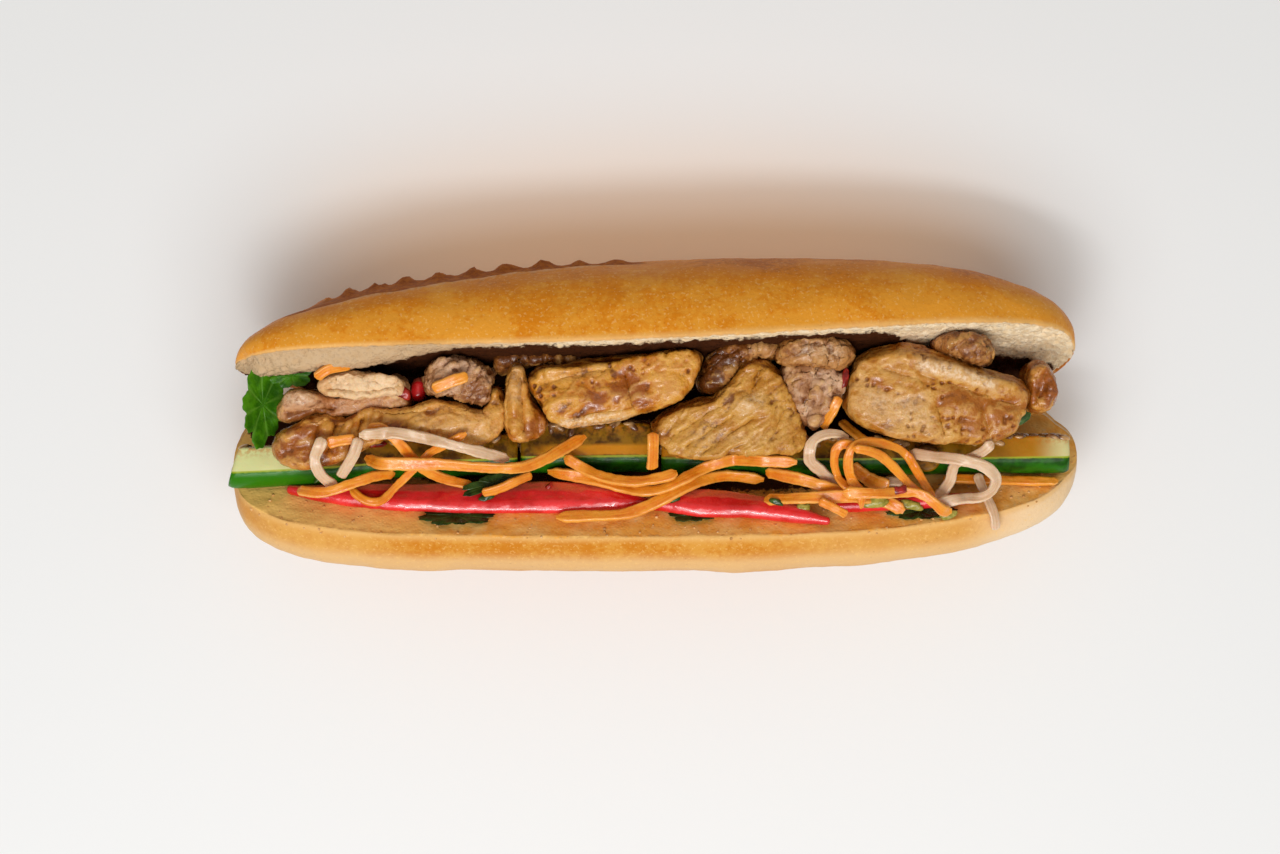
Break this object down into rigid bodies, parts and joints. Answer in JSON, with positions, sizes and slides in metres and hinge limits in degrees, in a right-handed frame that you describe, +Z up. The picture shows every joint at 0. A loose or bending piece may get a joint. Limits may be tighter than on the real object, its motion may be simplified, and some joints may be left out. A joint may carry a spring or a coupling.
{
  "type": "banh mi sandwich",
  "caption": "Crusty roll slit along one side and opened like a book, filled with sliced roast chicken, cucumber, red pepper, carrot and daikon shreds and coriander.",
  "frame": {"origin": "middle of the flat spot on the roll's hinge that it rests on, under the crease", "axes": "+X along the roll, +Y towards the top half, +Z up out of the opening"},
  "size_m": [0.2231, 0.0825, 0.0687],
  "materials": {
    "bread": "thin baked crust, satin where it is smooth, over a matt cream crumb",
    "chicken_skin": "roasted and glazed with its own juices",
    "chicken_meat": "moist cut meat",
    "chicken_breast": "moist pale meat",
    "dark_chicken": "moist, coarse and glazed",
    "cucumber": "wet flesh with a waxy green skin",
    "red_pepper": "waxy",
    "carrot": "moist",
    "daikon": "moist, slightly clear",
    "coriander": "satin leaf"
  },
  "bodies": {
    "root": {"bread_roll": "bread", "carrot_bend_lower": "carrot", "carrot_bend_upper": "carrot", "carrot_beside_leaf": "carrot", "carrot_bow": "carrot", "carrot_curl_large": "carrot", "carrot_curl_small": "carrot", "carrot_flat_end": "carrot", "carrot_flat_long": "carrot", "carrot_left_end": "carrot", "carrot_left_long": "carrot", "carrot_left_slant": "carrot", "carrot_left_stub": "carrot", "carrot_low_right": "carrot", "carrot_middle_cross": "carrot", "carrot_middle_long": "carrot", "carrot_on_meat": "carrot", "carrot_on_rim": "carrot", "carrot_short_upright": "carrot", "carrot_under_lip": "carrot", "carrot_vee": "carrot", "carrot_wave_right": "carrot", "carrot_wide_middle": "carrot", "carrot_wide_right": "carrot", "chicken_back_lower": "chicken_meat", "chicken_back_strip": "dark_chicken", "chicken_back_upper": "dark_chicken", "chicken_breast_slice": "chicken_breast", "chicken_dark_lump": "dark_chicken", "chicken_end_meat": "chicken_meat", "chicken_fibrous_lump": "dark_chicken", "chicken_folded_skin": "chicken_skin", "chicken_golden_slice": "chicken_skin", "chicken_large_slice": "chicken_skin", "chicken_lip_lump": "dark_chicken", "chicken_skin_slice": "chicken_skin", "chicken_striated_slice": "chicken_meat", "chicken_tip_slice": "chicken_skin", "coriander_leaf_end": "coriander", "coriander_leaf_face_left": "coriander", "coriander_leaf_face_middle": "coriander", "coriander_leaf_face_right": "coriander", "coriander_leaf_top": "coriander", "coriander_leaf_upper": "coriander", "cucumber_round_slice": "cucumber", "cucumber_spear_left": "cucumber", "cucumber_spear_middle": "cucumber", "cucumber_spear_right": "cucumber", "daikon_diagonal": "daikon", "daikon_hook_left": "daikon", "daikon_hook_right": "daikon", "daikon_long": "daikon", "daikon_loop": "daikon", "daikon_short": "daikon", "daikon_slant_left": "daikon", "daikon_tail": "daikon", "pepper_piece_inner": "red_pepper", "pepper_strip_left": "red_pepper", "pepper_strip_middle": "red_pepper", "pepper_strip_right": "red_pepper"}
  },
  "joints": []
}
